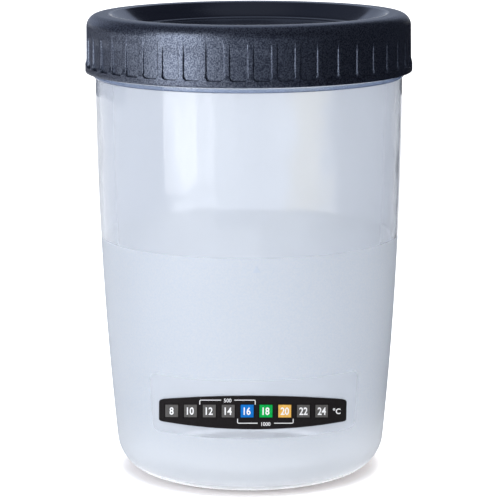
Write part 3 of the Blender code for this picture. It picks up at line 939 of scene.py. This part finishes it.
# Cards that also lie on the floor, from this distance outwards
CARD_FEET = {"card_front_right": 0.14, "card_right": 0.10}

# Lamps: name, azimuth, distance, foot, top, width, radiance, colour
COOL = (0.98, 0.985, 0.99)
WARM = (1.0, 0.97, 0.90)
LAMPS = [
    ("key_left", -53, 0.55, 0.006, 0.58, 0.25, 2.7, COOL),
    ("key_high", -48, 0.50, 0.20, 0.35, 0.18, 2.0, COOL),
    ("key_edge", -34, 0.55, 0.006, 0.55, 0.13, 0.95, COOL),
    ("fill_front", 22, 0.55, 0.05, 0.45, 0.25, 1.3, WARM),
]
UNMIRRORED_LAMPS = ("fill_front",)

# World: what mirrors show, by direction, and the light that falls on matt surfaces
ROOM_LEFT = (0.10, 0.11, 0.14)
ROOM_RIGHT = (0.02, 0.022, 0.032)
ROOM_ZENITH = (0.14, 0.145, 0.165)
BACK_LEFT = (0.58, 0.64, 0.79)
BACK_RIGHT = (0.38, 0.42, 0.52)
BACK_MIDDLE = (0.40, 0.45, 0.56)
LIGHT_LEFT = (0.56, 0.61, 0.71)
LIGHT_RIGHT = (0.95, 0.95, 0.97)
LIGHT_FAR_LEFT = (1.08, 1.14, 1.27)
LIGHT_FAR_RIGHT = (1.36, 1.38, 1.46)

# Camera, from the photograph's perspective
CAMERA_LENS = 182.0
CAMERA_SENSOR = 36.0
CAMERA_DISTANCE = 0.9245
CAMERA_AZIMUTH = radians(-2.6)
CAMERA_TILT = radians(10.2)
CAMERA_ROLL = radians(-0.226)
CAMERA_CLIP = (0.05, 20.0)
AIM_HEIGHT = 0.0803
AIM_RIGHT = 0.00015


def make_floor():
    """A pale floor, white in the open, with a painted contact shadow close around the object over its real
    shadow, and painted light under it for mirrors and the clear plastic.
    """
    mesh = bpy.data.meshes.new("floor")
    corners = [(-1, -1), (1, -1), (1, 1), (-1, 1)]
    mesh.from_pydata([(x * FLOOR_REACH, y * FLOOR_REACH, 0) for x, y in corners], [], [(0, 1, 2, 3)])
    floor_object = bpy.data.objects.new("floor", mesh)
    bpy.context.scene.collection.objects.link(floor_object)
    floor_object.location.z = -FLOOR_DROP
    material = bpy.data.materials.new("floor_pale")
    material.use_nodes = True
    material.node_tree.nodes.clear()
    tree = Tree(material.node_tree)
    diffuse = tree.node("ShaderNodeBsdfDiffuse")
    tree.put(diffuse.inputs["Color"], (*FLOOR_COLOUR, 1.0))
    open_share = tree.node("ShaderNodeAmbientOcclusion", samples=8)
    tree.put(open_share.inputs["Distance"], SHADOW_REACH)
    openness = tree.ramp(open_share.outputs["AO"], *SHADOW_SPAN)
    path = tree.node("ShaderNodeLightPath")
    # To the camera the floor dims by ambient occlusion close around the object: a painted contact shadow
    # over its real shadow
    shown = tree.blend(path.outputs["Is Camera Ray"], BLACK, tree.blend(openness, *FLOOR_SEEN))
    # To mirrors and through the clear plastic it glows brighter close under the object: painted light under
    # the foot
    shown = tree.blend(path.outputs["Is Glossy Ray"], shown, tree.blend(openness, *FLOOR_MIRRORED))
    shown = tree.blend(path.outputs["Is Transmission Ray"], shown, tree.blend(openness, *FLOOR_THROUGH))
    glow = tree.node("ShaderNodeEmission")
    tree.put(glow.inputs["Color"], shown)
    both = tree.node("ShaderNodeAddShader")
    tree.put(both.inputs[0], diffuse.outputs[0])
    tree.put(both.inputs[1], glow.outputs[0])
    tree.put(tree.node("ShaderNodeOutputMaterial").inputs["Surface"], both.outputs[0])
    mesh.materials.append(material)


def make_card(name, turns, distance, span, colours):
    """A curved card around the object, whose glow runs from the first colour to the second."""
    levels = [(distance, span[0]), (distance, span[1])]
    if name in CARD_FEET:
        levels.insert(0, (CARD_FEET[name], span[0]))
    verts, faces = [], []
    for i in range(CARD_STEPS + 1):
        turn = radians(turns[0] + (turns[1] - turns[0]) * i / CARD_STEPS)
        verts += [(reach * sin(turn), -reach * cos(turn), level) for reach, level in levels]
    rows = len(levels)
    for i in range(CARD_STEPS):
        for k in range(rows - 1):
            corner = rows * i + k
            faces.append((corner, corner + rows, corner + rows + 1, corner + 1))
    mesh = bpy.data.meshes.new(name)
    mesh.from_pydata(verts, [], faces)
    card = bpy.data.objects.new(name, mesh)
    bpy.context.scene.collection.objects.link(card)
    material, tree, shader = new_material(name, BLACK, 0.9)
    shader.inputs["Specular IOR Level"].default_value = 0.0
    x, y = tree.where()[1:3]
    share = tree.ramp(tree.azimuth(x, y), radians(turns[0]), radians(turns[1]), kind="LINEAR")
    tree.put(shader.inputs["Emission Color"], tree.blend(share, *colours))
    shader.inputs["Emission Strength"].default_value = 1.0
    mesh.materials.append(material)
    through = name in THROUGH_CARDS
    card.visible_camera = False
    card.visible_transmission = through
    card.visible_glossy = not through
    card.visible_diffuse = False
    card.visible_shadow = False


def make_lamp(name, azimuth, distance, bottom, top, width, radiance, colour):
    """An upright soft box that faces the object."""
    lamp = bpy.data.lights.new(name, "AREA")
    lamp.shape = "RECTANGLE"
    lamp.size = width
    lamp.size_y = top - bottom
    lamp.energy = radiance * pi * width * (top - bottom)
    lamp.color = colour
    holder = bpy.data.objects.new(name, lamp)
    bpy.context.scene.collection.objects.link(holder)
    turn = radians(azimuth)
    level = Vector((distance * sin(turn), -distance * cos(turn), 0.0))
    holder.location = level + Vector((0.0, 0.0, (top + bottom) / 2))
    holder.rotation_euler = level.to_track_quat("Z", "Y").to_euler()
    holder.visible_camera = False
    holder.visible_glossy = name not in UNMIRRORED_LAMPS


def back_share(tree, split, turn, rise, soft):
    """1 towards the backdrop: from an azimuth round to the back, on both sides, and up to an elevation."""
    x, y, z = split.outputs
    azimuth = tree.math("ABSOLUTE", tree.azimuth(x, y))
    behind = tree.ramp(azimuth, radians(turn - soft), radians(turn + soft))
    below = tree.ramp(tree.math("ARCSINE", z), radians(rise + soft), radians(rise - soft))
    return tree.math("MULTIPLY", behind, below)


def make_world():
    """White to the camera and through the plastic, a studio to mirrors, and soft light to the rest."""
    world = bpy.data.worlds.new("studio")
    bpy.context.scene.world = world
    world.use_nodes = True
    world.node_tree.nodes.clear()
    tree = Tree(world.node_tree)
    split = tree.node("ShaderNodeSeparateXYZ")
    tree.put(split.inputs[0], tree.node("ShaderNodeTexCoord").outputs["Generated"])
    x, y, z = split.outputs
    room = tree.blend(tree.ramp(x, -0.6, 0.5), ROOM_LEFT, ROOM_RIGHT)
    room = tree.blend(tree.ramp(z, 0.86, 0.97), room, ROOM_ZENITH)
    back = tree.blend(tree.ramp(x, 0.1, 0.6), BACK_LEFT, BACK_RIGHT)
    room = tree.blend(back_share(tree, split, 142.0, 25.5, 2.0), room, back)
    room = tree.blend(back_share(tree, split, 166.0, 58.0, 4.0), room, BACK_MIDDLE)
    mirrored = tree.blend(tree.ramp(z, 0.06, 0.02), room, WHITE)
    path = tree.node("ShaderNodeLightPath")
    plain = tree.math("MAXIMUM", path.outputs["Is Camera Ray"], path.outputs["Is Transmission Ray"])
    shown = tree.blend(plain, mirrored, WHITE)
    light = tree.blend(tree.ramp(x, -0.8, 0.8), LIGHT_LEFT, LIGHT_RIGHT)
    light = tree.blend(tree.ramp(x, -0.5, -0.95), light, LIGHT_FAR_LEFT)
    light = tree.blend(tree.ramp(x, 0.6, 0.98), light, LIGHT_FAR_RIGHT)
    seen = tree.math("MAXIMUM", plain, path.outputs["Is Glossy Ray"])
    background = tree.node("ShaderNodeBackground")
    tree.put(background.inputs["Color"], tree.blend(seen, light, shown))
    tree.put(tree.node("ShaderNodeOutputWorld").inputs["Surface"], background.outputs[0])


def make_camera():
    data = bpy.data.cameras.new("camera")
    data.lens = CAMERA_LENS
    data.sensor_width = CAMERA_SENSOR
    data.clip_start, data.clip_end = CAMERA_CLIP
    camera = bpy.data.objects.new("camera", data)
    bpy.context.scene.collection.objects.link(camera)
    level = Vector((sin(CAMERA_AZIMUTH), -cos(CAMERA_AZIMUTH), 0.0))
    right = Vector((cos(CAMERA_AZIMUTH), sin(CAMERA_AZIMUTH), 0.0))
    back = level * cos(CAMERA_TILT) + Vector((0, 0, sin(CAMERA_TILT)))
    aim = Vector((0, 0, AIM_HEIGHT)) + right * AIM_RIGHT
    camera.location = aim + back * CAMERA_DISTANCE
    rolled = back.to_track_quat("Z", "Y") @ Quaternion((0, 0, 1), CAMERA_ROLL)
    camera.rotation_euler = rolled.to_euler()
    bpy.context.scene.camera = camera


make_camera()
make_jar([jar_outside(), jar_inside()])
make_lid([lid_material()])
make_print(film_material("print_white", INK_COLOUR, 0.03, 0.5))
dress_cad_nodes()
make_floor()
for card in CARDS:
    make_card(*card)
for lamp in LAMPS:
    make_lamp(*lamp)
make_world()
bpy.context.scene.view_settings.view_transform = "Standard"
